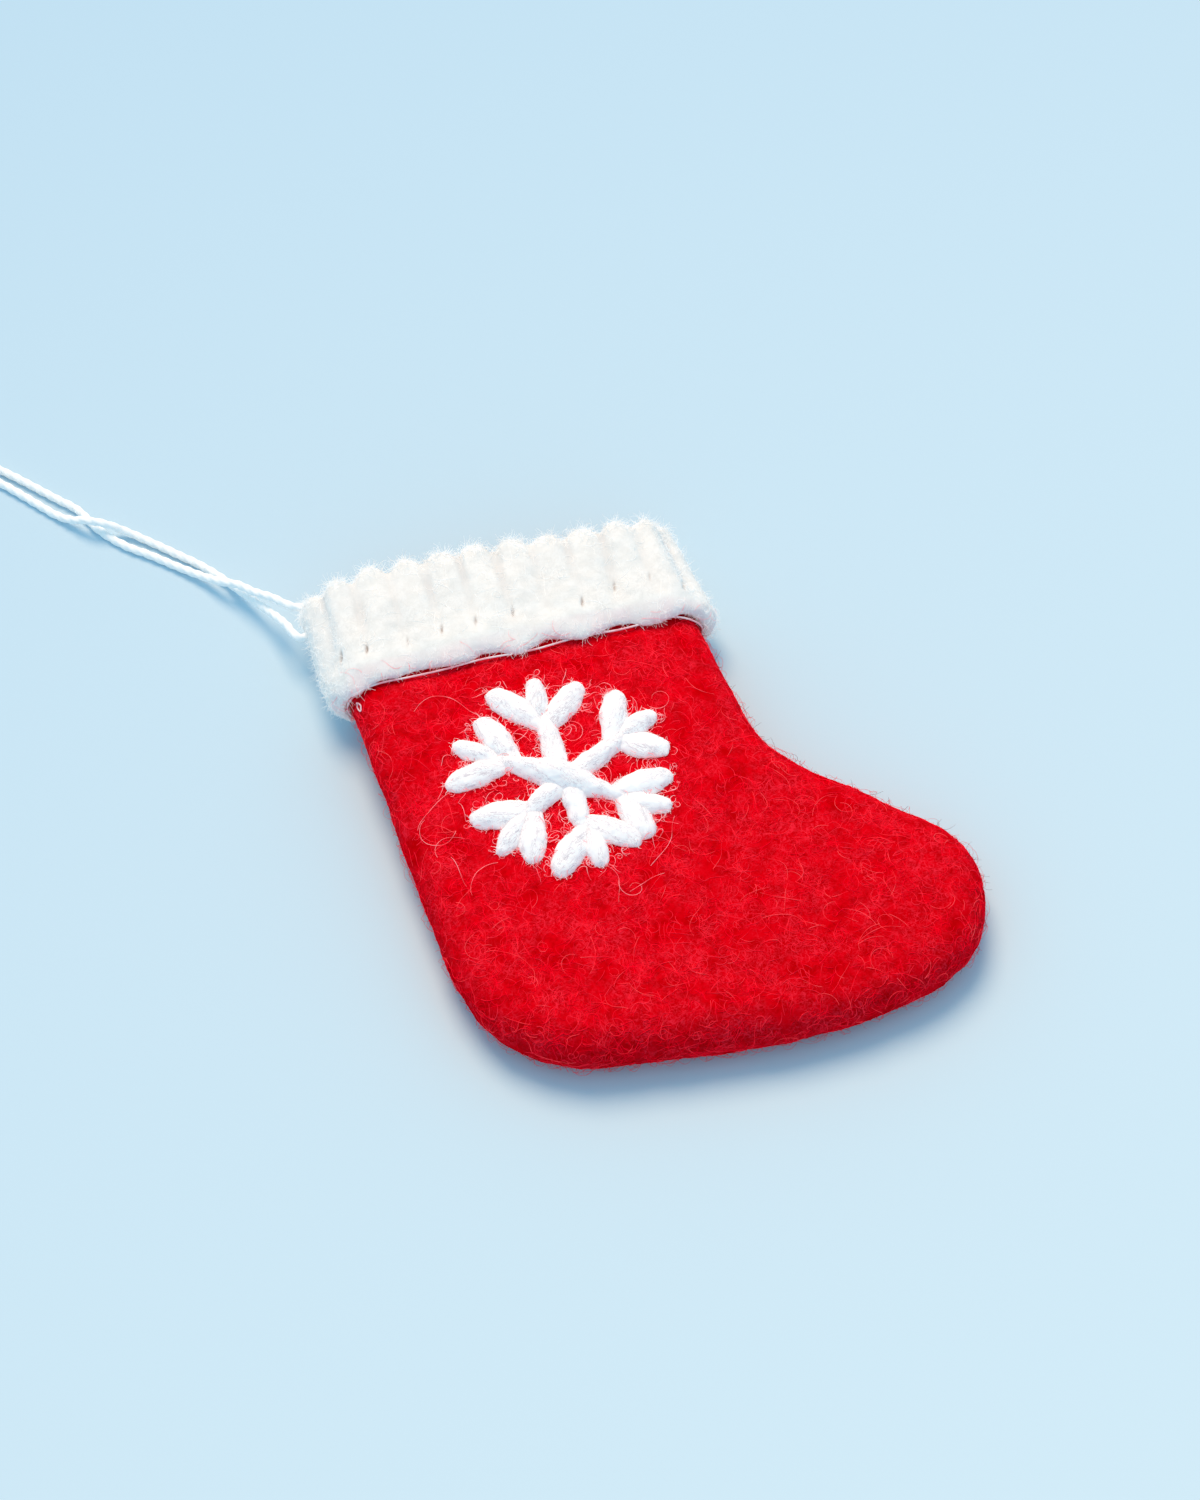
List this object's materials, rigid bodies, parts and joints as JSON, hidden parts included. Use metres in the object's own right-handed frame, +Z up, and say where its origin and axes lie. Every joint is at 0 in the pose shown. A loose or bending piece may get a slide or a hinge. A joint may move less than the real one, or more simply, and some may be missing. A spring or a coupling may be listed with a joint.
{
  "type": "felt stocking ornament",
  "caption": "Small flat stocking pouch of red felt with a white stitched cuff, a raised yarn snowflake on its front and a doubled hanging cord.",
  "frame": {"origin": "under the middle of the felt's box, on the surface that the stocking lies on", "axes": "+Y from the sole towards the cuff and the open mouth, +X from the heel towards the toe, +Z up out of the decorated front"},
  "size_m": [0.1613, 0.169, 0.0151],
  "materials": {
    "red_felt": "matte wet-felted wool with stray fibres",
    "white_felt": "matte fluffy wool felt",
    "white_yarn": "matte fuzzy wool yarn",
    "white_thread": "matte thin sewing thread",
    "white_cord": "matte twisted cotton cord"
  },
  "bodies": {
    "root": {"stocking_body": "red_felt", "cuff": "white_felt", "rim_whip_stitch": "white_thread", "hem_thread": "white_thread", "snowflake_long_stitch": "white_yarn", "snowflake_stem_1": "white_yarn", "snowflake_stem_2": "white_yarn", "snowflake_stem_4": "white_yarn", "snowflake_stem_5": "white_yarn", "snowflake_prong_1_middle": "white_yarn", "snowflake_prong_1_left": "white_yarn", "snowflake_prong_1_right": "white_yarn", "snowflake_prong_2_middle": "white_yarn", "snowflake_prong_2_left": "white_yarn", "snowflake_prong_2_right": "white_yarn", "snowflake_prong_3_middle": "white_yarn", "snowflake_prong_3_upper": "white_yarn", "snowflake_prong_3_lower": "white_yarn", "snowflake_prong_4_middle": "white_yarn", "snowflake_prong_4_left": "white_yarn", "snowflake_prong_4_right": "white_yarn", "snowflake_prong_5_middle": "white_yarn", "snowflake_prong_5_left": "white_yarn", "snowflake_prong_5_right": "white_yarn", "snowflake_prong_6_middle": "white_yarn", "snowflake_prong_6_upper": "white_yarn", "snowflake_prong_6_lower": "white_yarn", "hanging_cord": "white_cord", "cord_knot": "white_cord"}
  },
  "joints": []
}
